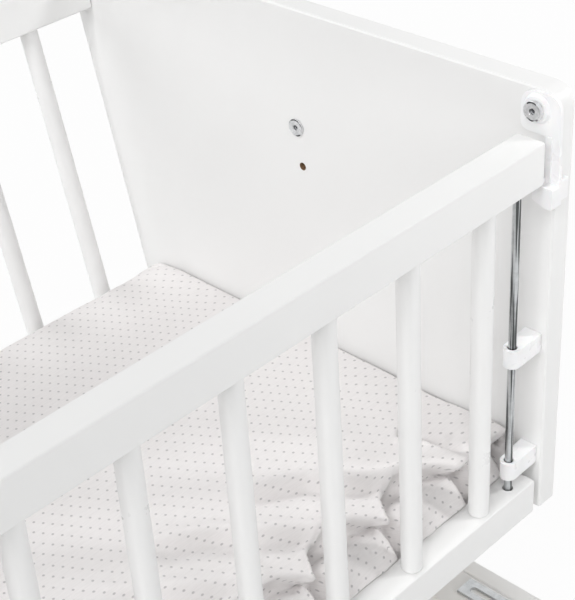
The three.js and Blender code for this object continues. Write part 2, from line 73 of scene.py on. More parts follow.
# Middles of the round parts of the end panels
SPARE_HOLE = (FRONT + 0.2429, PANEL_FOOT + 0.226)
HOLE_RADIUS = 0.0033
PANEL_BOLT = (FRONT + 0.2469, PANEL_FOOT + 0.2603)
CATCH_BOLT = (FRONT + 0.0145, PANEL_FOOT + 0.3473)


def add_object(name, data):
    made = bpy.data.objects.new(name, data)
    bpy.context.scene.collection.objects.link(made)
    return made


# Camera, solved from the edges of the crib

def make_camera():
    azimuth, pitch, roll = math.radians(43.78), math.radians(33.36), math.radians(-3.91)
    ahead = Vector((
        math.sin(azimuth) * math.cos(pitch),
        math.cos(azimuth) * math.cos(pitch),
        -math.sin(pitch),
    ))
    right = Vector((math.cos(azimuth), -math.sin(azimuth), 0))
    down = ahead.cross(right)
    turned_right = math.cos(roll) * right - math.sin(roll) * down
    turned_down = math.sin(roll) * right + math.cos(roll) * down
    data = bpy.data.cameras.new("camera")
    data.sensor_width = 36
    data.lens = 88.374
    data.clip_start = 0.05
    data.clip_end = 60
    camera = add_object("camera", data)
    corner = Vector((END_FACE, FRONT, PANEL_FOOT))
    place = corner + Vector((-0.7433, -0.50424, 0.79177))
    turn = Matrix((turned_right, -turned_down, -ahead)).transposed()
    camera.matrix_world = Matrix.Translation(place) @ turn.to_4x4()
    bpy.context.scene.camera = camera


# Node helpers for materials

class Shader:
    """A material's node tree, with short calls for the nodes that the materials share."""

    def __init__(self, name):
        self.material = bpy.data.materials.new(name)
        self.material.use_nodes = True
        self.tree = self.material.node_tree
        self.main = self.tree.nodes["Principled BSDF"]

    def node(self, kind, **inputs):
        made = self.tree.nodes.new(kind)
        for key, value in inputs.items():
            self.put(made, key, value)
        return made

    def put(self, made, key, value):
        """Fills the input of that name, or of the number after an i."""
        numbered = key[0] == "i" and key[1:].isdigit()
        self.fill(made.inputs[int(key[1:]) if numbered else key], value)

    def fill(self, socket, value):
        if isinstance(value, bpy.types.NodeSocket):
            self.tree.links.new(value, socket)
        else:
            socket.default_value = value

    def set(self, **values):
        for key, value in values.items():
            self.put(self.main, key.replace("_", " "), value)

    def math(self, operation, a, b=0.0, c=0.0):
        made = self.node("ShaderNodeMath", i0=a, i1=b, i2=c)
        made.operation = operation
        return made.outputs[0]

    def length(self, a, b):
        """Length of the vector (a, b)."""
        squares = self.math("ADD", self.math("POWER", a, 2.0), self.math("POWER", b, 2.0))
        return self.math("SQRT", squares)

    def place(self):
        return self.node("ShaderNodeTexCoord").outputs["Object"]

    def split(self, vector):
        made = self.node("ShaderNodeSeparateXYZ", Vector=vector)
        return made.outputs[0], made.outputs[1], made.outputs[2]

    def scaled(self, vector, factors):
        made = self.node("ShaderNodeVectorMath", i0=vector, i1=factors)
        made.operation = "MULTIPLY"
        return made.outputs[0]

    def noise(self, vector, scale, detail=2.0, rough=0.5):
        made = self.node("ShaderNodeTexNoise", Vector=vector, Scale=scale, Detail=detail, Roughness=rough)
        return made.outputs["Fac"]

    def ramp(self, value, low, high, out_low=0.0, out_high=1.0):
        made = self.node("ShaderNodeMapRange", Value=value)
        ends = {"From Min": low, "From Max": high, "To Min": out_low, "To Max": out_high}
        for key, number in ends.items():
            made.inputs[key].default_value = number
        made.interpolation_type = "SMOOTHSTEP"
        return made.outputs[0]

    def mix(self, share, a, b):
        made = self.tree.nodes.new("ShaderNodeMix")
        made.data_type = "RGBA"
        for number, value in ((0, share), (6, a), (7, b)):
            self.fill(made.inputs[number], value)
        return made.outputs[2]

    def bump(self, height, distance, strength=1.0, normal=None):
        made = self.node("ShaderNodeBump", Height=height, Distance=distance, Strength=strength)
        if normal is not None:
            self.tree.links.new(normal, made.inputs["Normal"])
        return made.outputs[0]


def rgb(r, g, b):
    return (r, g, b, 1.0)


# Materials

def lacquer(name, base, dark, along, rough=0.36):
    """White lacquer on wood: roller texture, a ghost of the grain along one axis, soft handling marks."""
    s = Shader(name)
    place = s.place()
    stretch = {"x": (0.06, 1, 1), "y": (1, 0.06, 1), "z": (1, 1, 0.06), "": (1, 1, 1)}[along]
    grain = s.noise(s.scaled(place, stretch), 420.0, 3.0, 0.6)
    roller = s.noise(place, 950.0, 2.0, 0.5)
    cloud = s.noise(place, 9.0, 2.0, 0.5)
    marks = s.noise(s.scaled(place, (1, 1, 0.6)), 46.0, 4.0, 0.7)
    tone = s.ramp(cloud, 0.35, 0.75)
    fleck = s.ramp(marks, 0.68, 0.85, 0.0, 0.2)
    share = s.math("MAXIMUM", s.math("MULTIPLY", tone, 0.5), fleck)
    s.set(Base_Color=s.mix(share, base, dark))
    s.set(Roughness=s.ramp(marks, 0.3, 0.75, rough - 0.05, rough + 0.1))
    fine = s.bump(roller, 0.00005, 0.5)
    s.set(Normal=s.bump(grain, 0.00008, 0.35, fine))
    s.set(Coat_Weight=0.25, Coat_Roughness=0.22, IOR=1.47)
    return s


def panel_lacquer():
    """The end panels' lacquer, with the bare board showing in the wall of the spare hole."""
    s = lacquer("panel_lacquer", rgb(0.86, 0.86, 0.855), rgb(0.835, 0.835, 0.83), "")
    _, y, z = s.split(s.place())
    away_y = s.math("SUBTRACT", y, SPARE_HOLE[0])
    away_z = s.math("SUBTRACT", z, SPARE_HOLE[1])
    radius = s.length(away_y, away_z)
    inside = s.ramp(radius, HOLE_RADIUS + 0.00005, HOLE_RADIUS + 0.0002, 1.0, 0.0)
    chips = s.noise(s.place(), 900.0, 3.0, 0.7)
    board = s.mix(s.ramp(chips, 0.35, 0.65), rgb(0.20, 0.11, 0.06), rgb(0.36, 0.23, 0.13))
    painted = s.main.inputs["Base Color"].links[0].from_socket
    s.set(Base_Color=s.mix(inside, painted, board))
    return s.material


def plastic():
    """White moulded plastic with a fine spark-eroded texture."""
    s = Shader("moulded_plastic")
    place = s.place()
    grit = s.noise(place, 2600.0, 2.0, 0.6)
    flow = s.noise(place, 60.0, 2.0, 0.5)
    s.set(Base_Color=s.mix(s.ramp(flow, 0.35, 0.7), rgb(0.92, 0.92, 0.925), rgb(0.885, 0.885, 0.895)))
    s.set(Roughness=s.ramp(flow, 0.3, 0.7, 0.26, 0.36))
    s.set(Normal=s.bump(grit, 0.00003, 0.35))
    s.set(IOR=1.5, Subsurface_Weight=0.06, Subsurface_Scale=0.002)
    return s.material


def zinc(name, along, streaks=(500.0, 0.7, 0.8)):
    """Plated steel: cloudy zinc, drawing lines, and painted dark reflections in streaks along one axis.

    streaks holds the scale of their noise and the two levels between which they darken.
    """
    s = Shader(name)
    place = s.place()
    stretch = {"x": (0.02, 1, 1), "y": (1, 0.02, 1), "z": (1, 1, 0.02)}[along]
    lines = s.noise(s.scaled(place, stretch), 2400.0, 2.0, 0.6)
    cloud = s.noise(place, 130.0, 4.0, 0.65)
    coat = s.mix(s.ramp(cloud, 0.35, 0.7), rgb(0.60, 0.615, 0.625), rgb(0.48, 0.495, 0.505))
    # Streaks of painted dark reflection, standing in for dark surroundings that the metal would mirror
    reflection_streaks = s.ramp(s.noise(s.scaled(place, stretch), streaks[0], 1.0, 0.5), streaks[1], streaks[2])
    s.set(Base_Color=s.mix(reflection_streaks, coat, rgb(0.09, 0.095, 0.095)))
    s.set(Roughness=s.ramp(cloud, 0.3, 0.7, 0.3, 0.46), Metallic=1.0)
    s.set(Normal=s.bump(lines, 0.00004, 0.4))
    return s.material


def turned_steel(name, axis, centre, rim):
    """Bolt head with turned rings round its axis, painted shade in its socket and in patches by its rim."""
    s = Shader(name)
    x, y, z = s.split(s.place())
    first, second = (y, z) if axis == "x" else (x, y)
    if axis == "z":
        first = s.math("ABSOLUTE", x)
    away_a = s.math("SUBTRACT", first, centre[0])
    away_b = s.math("SUBTRACT", second, centre[1])
    radius = s.length(away_a, away_b)
    rings = s.math("SINE", s.math("MULTIPLY", radius, 14000.0))
    cloud = s.noise(s.place(), 260.0, 3.0, 0.6)
    steel = s.mix(s.ramp(cloud, 0.35, 0.7), rgb(0.80, 0.805, 0.815), rgb(0.60, 0.61, 0.62))
    # A broken band inside the rim: painted shade of the gap round the head and painted dark reflection
    inner, outer = s.ramp(radius, rim - 0.0016, rim - 0.0010), s.ramp(radius, rim - 0.0003, rim, 1, 0)
    ring = s.math("MULTIPLY", inner, outer)
    rim_shade_patches = s.ramp(s.noise(s.place(), 150.0, 1.0, 0.5), 0.44, 0.56)
    # The socket is painted dark for the shade in its recess; dark holds both painted shades
    socket = s.ramp(radius, 0.0016, 0.0026, 1, 0)
    dark = s.math("MAXIMUM", s.math("MULTIPLY", ring, rim_shade_patches), socket)
    s.set(Base_Color=s.mix(dark, steel, rgb(0.07, 0.07, 0.075)))
    s.set(Roughness=s.ramp(cloud, 0.3, 0.7, 0.24, 0.38), Metallic=1.0)
    s.set(Normal=s.bump(rings, 0.00003, 0.3))
    return s.material


def raw_board():
    s = Shader("raw_board")
    place = s.place()
    fibres = s.noise(s.scaled(place, (0.2, 1, 1)), 300.0, 4.0, 0.65)
    s.set(Base_Color=s.mix(s.ramp(fibres, 0.35, 0.7), rgb(0.70, 0.60, 0.46), rgb(0.56, 0.46, 0.33)))
    s.set(Roughness=0.8, Normal=s.bump(fibres, 0.0002, 0.4))
    return s.material


def felt():
    s = Shader("felt")
    fuzz = s.noise(s.place(), 1500.0, 4.0, 0.7)
    s.set(Base_Color=s.mix(s.ramp(fuzz, 0.35, 0.7), rgb(0.30, 0.30, 0.29), rgb(0.20, 0.20, 0.195)))
    s.set(Roughness=0.95, Sheen_Weight=0.4, Normal=s.bump(fuzz, 0.0006, 0.8))
    return s.material


# Finish of the carried-over nodes

def smoothing_group():
    """Shades smooth, apart from edges sharper than the angle given."""
    group = bpy.data.node_groups.new("smooth_by_angle", "GeometryNodeTree")
    group.interface.new_socket("Geometry", in_out="INPUT", socket_type="NodeSocketGeometry")
    group.interface.new_socket("Geometry", in_out="OUTPUT", socket_type="NodeSocketGeometry")
    add = group.nodes.new
    start, end = add("NodeGroupInput"), add("NodeGroupOutput")
    faces, edges = add("GeometryNodeSetShadeSmooth"), add("GeometryNodeSetShadeSmooth")
    faces.domain, edges.domain = "FACE", "EDGE"
    edges.inputs["Shade Smooth"].default_value = False
    angle, compare = add("GeometryNodeInputMeshEdgeAngle"), add("FunctionNodeCompare")
    compare.data_type, compare.operation = "FLOAT", "GREATER_THAN"
    compare.inputs[1].default_value = math.radians(35)
    link = group.links.new
    link(start.outputs[0], faces.inputs["Geometry"])
    link(faces.outputs[0], edges.inputs["Geometry"])
    link(angle.outputs["Unsigned Angle"], compare.inputs[0])
    link(compare.outputs[0], edges.inputs["Selection"])
    link(edges.outputs[0], end.inputs[0])
    return group


def finish_node(name, material, bevel, segments=3):
    node = nodes[name]
    node.data.materials.clear()
    node.data.materials.append(material)
    weld = node.modifiers.new("weld", "WELD")
    weld.merge_threshold = 0.00001
    flat = node.modifiers.new("flat", "DECIMATE")
    flat.decimate_type = "DISSOLVE"
    flat.angle_limit = math.radians(1)
    if bevel:
        edge = node.modifiers.new("edge", "BEVEL")
        edge.limit_method = "ANGLE"
        edge.angle_limit = math.radians(30)
        edge.width = bevel
        edge.segments = segments
        edge.miter_outer = "MITER_ARC"
    shade = node.modifiers.new("shade", "NODES")
    shade.node_group = SMOOTH
    normals = node.modifiers.new("normals", "WEIGHTED_NORMAL")
    normals.keep_sharp = True


SMOOTH = smoothing_group()


def dress_nodes():
    white = rgb(0.87, 0.87, 0.865)
    shade = rgb(0.845, 0.845, 0.84)
    along_x = lacquer("rail_lacquer", white, shade, "x").material
    along_z = lacquer("bar_lacquer", white, shade, "z", 0.32).material
    along_y = lacquer("beam_lacquer", white, shade, "y").material
    panel = panel_lacquer()
    moulded = plastic()
    # The rod gets the densest streaks of painted dark reflection
    rod = zinc("zinc_rod", "z", (620.0, 0.47, 0.60))
    plate = zinc("zinc_plate", "y")
    stud = zinc("zinc_stud", "x")
    panel_bolt = turned_steel("bolt_panel", "x", PANEL_BOLT, 0.0075)
    catch_bolt = turned_steel("bolt_catch", "x", CATCH_BOLT, 0.0073)
    plate_middle = (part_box("plate_bolt_right")[0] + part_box("plate_bolt_right")[1]) / 2
    plate_bolt = turned_steel("bolt_plate", "z", (plate_middle.x, plate_middle.y), 0.0065)
    # Start of the name, material, width and segments of the bevel
    rules = [
        ("end_panel_", panel, 0.0007, 2),
        ("gate_rail_", along_x, 0.0011, 3),
        ("back_rail_", along_x, 0.0011, 3),
        ("base_stretcher_", along_x, 0.0006, 2),
        ("gate_bar_", along_z, 0.0008, 2),
        ("back_bar_", along_z, 0.0008, 2),
        ("leg_post_", along_z, 0.0008, 2),
        ("leg_cheek_", along_y, 0.0006, 2),
        ("foot_beam_", along_y, 0.0008, 2),
        ("rod_bracket_", moulded, 0.0007, 3),
        ("catch_bolt_", catch_bolt, 0.0011, 4),
        ("panel_bolt_", panel_bolt, 0.0008, 3),
        ("plate_bolt_", plate_bolt, 0.0008, 3),
        ("catch_", moulded, 0.0005, 3),
        ("gate_rod_", rod, 0, 0),
        ("gate_stud_", stud, 0.0004, 2),
        ("foot_plate_", plate, 0.0004, 2),
        ("base_board", raw_board(), 0.0005, 2),
        ("foot_glide_", felt(), 0.0006, 2),
    ]
    for name in nodes:
        for start, material, bevel, segments in rules:
            if name.startswith(start):
                finish_node(name, material, bevel, segments)
                break


# Mattress

MATTRESS_FRONT = FRONT + 0.030
MATTRESS_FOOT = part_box("mattress")[0].z
MATTRESS_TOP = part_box("mattress")[1].z
MATTRESS_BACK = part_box("mattress")[1].y
LEAN = math.tan(math.radians(11.5))  # of the back and of the panels' back edges
INSIDE = 0.913  # between the end panels
FIRST_BAR, PITCH = -64, 78.5  # millimetres, from the right panel's face
SWELL_FRAMES = 20
RAIL_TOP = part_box("gate_rail_bottom")[1].z
RAIL_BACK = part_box("gate_rail_bottom")[1].y
BARS_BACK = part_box("gate_bar_01")[1].y


def mattress_start():
    """Closed form a little smaller than the space, which the simulation fills."""
    low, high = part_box("mattress")
    half_x = high.x - 0.003
    foot, top = low.z + 0.002, high.z - 0.007
    foot_back = MATTRESS_BACK - LEAN * (high.z - low.z)
    mesh = bpy.data.meshes.new("mattress_cover")
    form = bmesh.new()
    rings = []
    # Inset and height of each ring
    levels = ((0.004, foot), (0.0, foot + 0.008), (0.0, top - 0.012), (0.004, top - 0.004), (0.012, top))
    for inset, z in levels:
        back = foot_back + LEAN * (z - low.z) - inset
        front = MATTRESS_FRONT + inset
        ring = []
        for quarter in range(4):
            to_x = 1 if quarter in (0, 3) else -1
            corner = 0.014 if quarter < 2 else 0.018
            middle_y = back - corner if quarter < 2 else front + corner
            for i in range(9):
                angle = (quarter + i / 8) * math.pi / 2
                x = to_x * (half_x - inset - corner) + corner * math.cos(angle)
                ring.append(form.verts.new((x, middle_y + corner * math.sin(angle), z)))
        rings.append(ring)
    count = len(rings[0])
    for lower, upper in zip(rings, rings[1:]):
        for i in range(count):
            j = (i + 1) % count
            form.faces.new((lower[i], lower[j], upper[j], upper[i]))
    form.faces.new(list(reversed(rings[0])))
    form.faces.new(rings[-1])
    form.to_mesh(mesh)
    form.free()
    return add_object("mattress_cover", mesh)


def apply_modifiers(thing):
    """Bakes the modifiers into the mesh."""
    graph = bpy.context.evaluated_depsgraph_get()
    baked = bpy.data.meshes.new_from_object(thing.evaluated_get(graph))
    thing.modifiers.clear()
    thing.data = baked


def read_points(mesh, kind="co"):
    values = np.empty(len(mesh.vertices) * 3)
    mesh.vertices.foreach_get(kind, values)
    return values.reshape(-1, 3)


def swell(cover):
    """Blows the cover up a little, and caps how far a point may go."""
    rest = read_points(cover.data)
    cloth = cover.modifiers.new("cloth", "CLOTH")
    cloth.settings.quality = 4
    cloth.settings.mass = 0.2
    cloth.settings.tension_stiffness = 18
    cloth.settings.compression_stiffness = 18
    cloth.settings.bending_stiffness = 0.6
    cloth.settings.use_pressure = True
    cloth.settings.uniform_pressure_force = 4
    cloth.settings.effector_weights.gravity = 0
    cloth.collision_settings.use_collision = False
    cloth.point_cache.frame_start = 1
    cloth.point_cache.frame_end = SWELL_FRAMES
    scene = bpy.context.scene
    for frame_number in range(1, SWELL_FRAMES + 1):
        scene.frame_set(frame_number)
    apply_modifiers(cover)
    scene.frame_set(1)
    step = read_points(cover.data) - rest
    length = np.linalg.norm(step, axis=1, keepdims=True)
    step *= np.minimum(1, 0.006 / np.maximum(length, 1e-9))
    cover.data.vertices.foreach_set("co", (rest + step).ravel())
    cover.data.update()


def ease(value, low, high):
    """Goes from 0 at low to 1 at high, smoothly."""
    share = np.clip((value - low) / (high - low), 0, 1)
    return share * share * (3 - 2 * share)


def bump_at(value, middle, width):
    return np.exp(-(((value - middle) / width) ** 2))


def bar_phase(x, shift=0):
    """Share of the way from a bar to the next one on its right; shift moves its start to the right."""
    return ((x * 1000 - FIRST_BAR - shift) / PITCH) % 1.0


# Creases of the sheet: path in millimetres from the right panel's face and the gate's front, depth, width,
# height of the ridge on the steep side, lean (1 where the steep side is at the back, -1 at the front)
CREASES = [
    # Folds that run back to the left from the hood of each bay
    (((-90, 47), (-107, 54), (-123, 65), (-138, 77), (-156, 102), (-180, 117), (-214, 140)),
     9.5, 4.8, 4.6, 1),
    (((-166, 44), (-179, 51), (-190, 57), (-199, 67), (-220, 86), (-244, 112), (-266, 126), (-294, 154)),
     9.0, 5.2, 4.2, 1),
    (((-240, 46), (-256, 56), (-272, 64), (-290, 80), (-316, 104), (-350, 136)), 7.5, 5.8, 3.4, 1),
    # Short folds near the right end
    (((-66, 92), (-58, 80), (-55, 68), (-53, 55), (-50, 46), (-43, 37)), 7.5, 3.4, 3.6, -1),
    (((-58, 98), (-48, 80), (-44, 62), (-40, 44)), 2.2, 8.0, 0.0, -1),
    (((-40, 62), (-30, 48), (-22, 34)), 1.4, 4.0, 0.6, 1),
    (((-205, 196), (-158, 158), (-120, 118)), 0.9, 10.0, 0.5, 1),
]
# Courses of the sheet over the front edge: stage (0 far back, 1 on the lip, 2 on the bottom rail, 3 at the
# foot), millimetres from the gate's front, height
AT_BAR = np.array((
    (0, 90, 67), (0.5, 60, 67.3), (0.77, 45, 67.8), (0.92, 35.5, 67.4), (1, 30.5, 66), (1.05, 30, 63),
    (1.12, 35, 59.5), (1.21, 42, 56), (1.3, 47, 51), (1.45, 48, 45), (1.6, 46, 40), (1.8, 41, 35),
    (2, 36, 31), (2.3, 33, 26), (3, 32, 16),
))
BETWEEN = np.array((
    (0, 90, 66.5), (0.45, 76, 65.6), (0.65, 70, 65.6), (0.84, 65.5, 68.2), (0.94, 62, 70.4),
    (1, 59.2, 69.4), (1.04, 60, 66.0), (1.09, 63, 61.5), (1.15, 65, 56.0), (1.21, 63, 50.5),
    (1.28, 57, 48.5), (1.36, 50.5, 52.5), (1.46, 44.5, 54.6), (1.58, 37.5, 53), (1.7, 31, 48.5),
    (1.82, 26, 42.5), (1.92, 22.6, 37.5), (2, 21, 34.8), (2.15, 23.5, 33.7), (2.35, 26.5, 30),
    (2.6, 28, 24), (3, 29, 16),
))
AT_END = np.array((
    (0, 90, 64.5), (0.6, 54, 64.3), (0.77, 44, 62.5), (0.9, 37.5, 58.5), (1.05, 33, 51), (1.4, 31.5, 40),
    (2, 32, 30), (3, 32.5, 16),
))
COURSES = (AT_BAR, BETWEEN, AT_END)
# How far the hood's lip stands back in a bay, from its right bar to its left one: millimetres, share
HOOD = np.array((
    (0, 0), (2.5, 0.09), (6, 0.34), (12, 0.52), (18, 0.7), (28, 0.86), (42, 1), (54, 1), (66, 0.75),
    (74, 0.3), (PITCH, 0),
))
HOOD_BACK = 29  # millimetres by which the lip stands back at most
PARTING = 7.0  # the lobes part this far to the right of each bar, in millimetres
FLANK = 10.0  # width of the flank on either side of the parting
LAST_BAY_END, LAST_FLANK = -12, 25  # the bay beside the right panel: its end and the width of its flanks
# The plain front edge in metres: where the worked part starts, its front, its turn down, its top
WORKED_FROM, EDGE_FRONT, EDGE_TURN, EDGE_TOP = 0.090, 0.032, 0.066, 0.067
# Millimetres walked over it to its corner, to the lip (where there is no hood), to the rail, to the foot
TO_CORNER, TO_LIP, TO_RAIL, TO_FOOT = 58, 60, 86, 110


def path_length(course):
    """Millimetres walked along a course up to each of its points."""
    steps = np.hypot(np.diff(course[:, 1]), np.diff(course[:, 2]))
    return np.concatenate(((0,), np.cumsum(steps)))


def along_path(x, y, path):
    """Distance to the path, positive behind it, and how far along it, from 0 to 1."""
    path = np.array(path) / 1000
    steps = np.diff(path, axis=0)
    lengths = np.linalg.norm(steps, axis=1)
    total = lengths.sum()
    best = np.full(len(x), 1e9)
    side, share, walked = np.zeros(len(x)), np.zeros(len(x)), 0.0
    for (px, py), (sx, sy), length in zip(path[:-1], steps, lengths):
        part = np.clip(((x - px) * sx + (y - py) * sy) / length ** 2, 0, 1)
        off_x, off_y = x - px - part * sx, y - py - part * sy
        distance = np.hypot(off_x, off_y)
        nearer = distance < best
        best = np.where(nearer, distance, best)
        side = np.where(nearer, np.sign(0.69 * off_x + 0.72 * off_y), side)
        share = np.where(nearer, (walked + part * length) / total, share)
        walked += length
    return best * side, share


def crease(x, y, path, depth, width, ridge, lean, fade_out=0.25, fade_in=0.12):
    """Valley along the path, steep on one side with a low roll behind that, gentle on the other."""
    away, share = along_path(x, y, path)
    away = away * lean
    fade = ease(share, 0, fade_in) * (1 - ease(share, 1 - fade_out, 1))
    width, depth, ridge = width / 1000, depth / 1000, ridge / 1000
    valley = np.where(away > 0, bump_at(away, 0, width), bump_at(away, 0, 2.4 * width))
    return fade * (ridge * bump_at(away, 2.2 * width, 1.4 * width) - depth * valley)


def top_folds(x, y):
    """Height of the folds on the top of the mattress."""
    height = np.zeros(len(x))
    for path, depth, width, ridge, lean in CREASES:
        height += crease(x, y, path, depth, width, ridge, lean)
    # The photo shows the front edge up to the fourth bar, and the bays further left follow one rule
    for k in range(4, 11):
        bar, swing = FIRST_BAR - PITCH * k, 1 + 0.25 * math.sin(k * 2.3)
        bend = bar - 42 - 6 * math.sin(k * 1.7)
        path = [(bar - 24, 56), (bend, 64), (bar - 56, 76), (bar - 86 * swing, 116 * swing)]
        height += crease(x, y, path, 6.4 * swing, 5.4, 3.2, 1)
    calm = 0.35 + 0.65 * (1 - ease(y, 0.12, 0.30))
    slow = np.sin(x * 31 + 2 * np.sin(y * 23)) * np.sin(y * 29 + 1.1 * np.sin(x * 17))
    return height + 0.0007 * calm * slow


def over_edge(x, y, z):
    """Places of the front edge: held back at the bars, hooded between them and then lying on the rail.

    Returns them, how far they lie from the plain edge, the millimetres walked over it, and where the point
    lies on the sheet: its place towards the back, and how far it is shifted to the right.
    """
    before = WORKED_FROM - np.maximum(y, EDGE_FRONT)
    way = 1000 * (np.clip(before, 0, 1) + np.clip(EDGE_TURN - z, 0, 1))
    hood = np.interp((1 - bar_phase(x)) * PITCH, HOOD[:, 0], HOOD[:, 1])
    hood = np.where(x > FIRST_BAR / 1000, 0, hood)
    lip = TO_LIP - HOOD_BACK * hood
    to_rail, to_foot = (way - lip) / (TO_RAIL - lip), (way - TO_RAIL) / (TO_FOOT - TO_RAIL)
    stage = np.where(way < lip, way / lip, np.where(way < TO_RAIL, 1 + to_rail, 2 + to_foot))
    stage = np.clip(stage, 0, 3)
    course = [np.column_stack([np.interp(stage, c[:, 0], c[:, k]) for k in (1, 2)]) for c in COURSES]
    # The lobes part just to the right of each bar, and their flanks run back steeply there
    last = np.minimum(x - FIRST_BAR / 1000, LAST_BAY_END / 1000 - x) / (LAST_FLANK / 1000)
    last = np.where(x > (FIRST_BAR + PARTING) / 1000, np.clip(last, 0, 1) * LAST_FLANK, 99)
    parting = bar_phase(x, PARTING)
    lobe = ease(np.minimum(np.minimum(parting, 1 - parting) * PITCH, last), 1, FLANK)
    under = ease(stage, 1.15, 1.6)
    full = hood + (lobe - hood) * under
    at_end = ease(x, -0.013, -0.006)
    target = course[0] + (course[1] - course[0]) * full[:, None]
    target = (target + (course[2] - target) * at_end[:, None]) / 1000
    # Small waves, and a fold beside the panel
    side = ease(stage, 1.0, 1.3)
    target[:, 0] += 0.0009 * side * np.sin(x * 190 + 0.06 * way + 1.5 * np.sin(x * 47))
    target[:, 0] += 0.009 * side * bump_at(x, -0.0150, 0.0030) * ease(stage, 1.1, 1.5)
    plain_y = WORKED_FROM - np.minimum(way, TO_CORNER) / 1000
    plain_z = EDGE_TOP - np.maximum(0, way - TO_CORNER) / 1000
    walked = [np.interp(stage, c[:, 0], path_length(c)) for c in COURSES]
    cloth = walked[0] + (walked[1] - walked[0]) * full
    cloth = WORKED_FROM - (cloth + (walked[2] - cloth) * at_end) / 1000
    # The flanks take more cloth than their width
    deep = np.hypot(course[1][:, 0] - course[0][:, 0], course[1][:, 1] - course[0][:, 1]) * under
    aside = (np.hypot(FLANK, deep) - FLANK) * (1 - lobe) * np.sign(0.5 - parting) / 1000
    return target, target - np.column_stack((plain_y, plain_z)), way, cloth, -aside * (1 - at_end)


def drape(points):
    """Works the edges and lays folds on the top.

    Returns the points, where each lies on the sheet and how much of it is worked front edge.
    """
    x, y, z = points[:, 0] - END_FACE, points[:, 1] - FRONT, points[:, 2] - PANEL_FOOT
    # The left end mirrors the right one
    mirrored = np.where(x < -0.88, -INSIDE - x, x)
    upper = ease(z, 0.040, 0.060)
    # The upper edges along the ends are drawn out, nearly square
    to_end = np.minimum(END_FACE - np.abs(points[:, 0]), 0.05) - 0.0010
    out = 0.72 * np.clip(to_end, 0, 0.012) * (1 - ease(to_end, 0.012, 0.045)) * ease(z, 0.048, 0.058)
    x = x + np.sign(points[:, 0]) * out
    # Crown: highest in the middle, low along the ends
    edge = np.minimum(-x, x + INSIDE)
    crown = 0.003 * ease(edge, 0, 0.12) - 0.0022 * (1 - ease(edge, 0, 0.04))
    crown = crown - 0.006 * bump_at(edge, 0, 0.03) * ease(y, 0.40, 0.46)
    target, shift, way, cloth, aside = over_edge(mirrored, y, z)
    held = 1 - ease(y, 0.078, 0.095)
    exact = held * (1 - ease(way, 98, 108))
    moved_y = y + held * shift[:, 0]
    moved_z = z + held * shift[:, 1]
    moved_y += exact * (target[:, 0] - y - shift[:, 0])
    moved_z += exact * (target[:, 1] - z - shift[:, 1])
    on_top = upper * ease(moved_z, 0.0585, 0.0635)
    folds = top_folds(x, moved_y)
    z = moved_z + on_top * (crown * ease(moved_y, 0.03, 0.08) + folds)
    # Where each point lies on the sheet, counted towards the right and the back
    across = points[:, 0] + held * aside
    along = y + held * (cloth - y) + 0.9 * on_top * folds
    y = moved_y
    # The back side lies against the bars and swells out between them a little
    phase = bar_phase(x)
    off_bar = np.minimum(phase, 1 - phase) * 2
    swollen = 0.0035 * ease(off_bar, 0.2, 0.8) * ease(z, 0.020, 0.035) * (1 - ease(z, 0.052, 0.062))
    y = y + swollen * ease(y, 0.40, 0.43)
    return np.column_stack((x + END_FACE, y + FRONT, z + PANEL_FOOT)), across, along, held


def keep_clear(points):
    """Keeps the sheet out of the end panels, the bars, the bottom rails and the board."""
    x, y, z = points.T.copy()
    x = np.clip(x, -END_FACE + 0.0006, END_FACE - 0.0006)
    above = ease(z, RAIL_TOP + 0.0006, RAIL_TOP + 0.0022)
    y = np.maximum(y, (RAIL_BACK + 0.0012) * (1 - above) + (BARS_BACK + 0.0008) * above)
    z = np.maximum(z, MATTRESS_FOOT)
    return np.column_stack((x, y, z))


def sheet_material():
    """White cotton with small grey dots in a staggered grid, fine weave and soft sheen."""
    s = Shader("dotted_cotton")
    flat = s.node("ShaderNodeUVMap")
    flat.uv_map = "sheet"
    u, v, _ = s.split(flat.outputs[0])
    # The grid is spanned by two steps in metres, and the dots stand where both counts are whole numbers
    a, b = (0.00395, -0.00615), (-0.00675, -0.00875)
    det = a[0] * b[1] - a[1] * b[0]
    first = s.math("ADD", s.math("MULTIPLY", u, b[1] / det), s.math("MULTIPLY", v, -b[0] / det))
    second = s.math("ADD", s.math("MULTIPLY", u, -a[1] / det), s.math("MULTIPLY", v, a[0] / det))
    off_a = s.math("SUBTRACT", s.math("FRACT", s.math("ADD", first, 0.5)), 0.5)
    off_b = s.math("SUBTRACT", s.math("FRACT", s.math("ADD", second, 0.5)), 0.5)
    du = s.math("ADD", s.math("MULTIPLY", off_a, a[0]), s.math("MULTIPLY", off_b, b[0]))
    dv = s.math("ADD", s.math("MULTIPLY", off_a, a[1]), s.math("MULTIPLY", off_b, b[1]))
    reach = s.length(du, dv)
    ragged = s.noise(flat.outputs[0], 1400.0, 2.0, 0.6)
    reach = s.math("ADD", reach, s.math("MULTIPLY", s.math("SUBTRACT", ragged, 0.5), 0.0006))
    dot = s.ramp(reach, 0.0006, 0.0014, 1.0, 0.0)
    thread = 2 * math.pi / 0.0007
    warp, weft = (s.math("SINE", s.math("MULTIPLY", way, thread)) for way in (u, v))
    weave = s.math("MULTIPLY", warp, weft)
    slub = s.noise(s.scaled(flat.outputs[0], (1, 8, 1)), 90.0, 3.0, 0.6)
    ground = s.mix(s.ramp(slub, 0.3, 0.75), rgb(0.85, 0.825, 0.82), rgb(0.80, 0.775, 0.77))
    s.set(Base_Color=s.mix(dot, ground, rgb(0.53, 0.51, 0.515)))
    s.set(Roughness=0.9, Sheen_Weight=0.25, Sheen_Roughness=0.5)
    fine = s.bump(weave, 0.00006, 0.5)
    s.set(Normal=s.bump(slub, 0.0002, 0.5, fine))
    return s.material


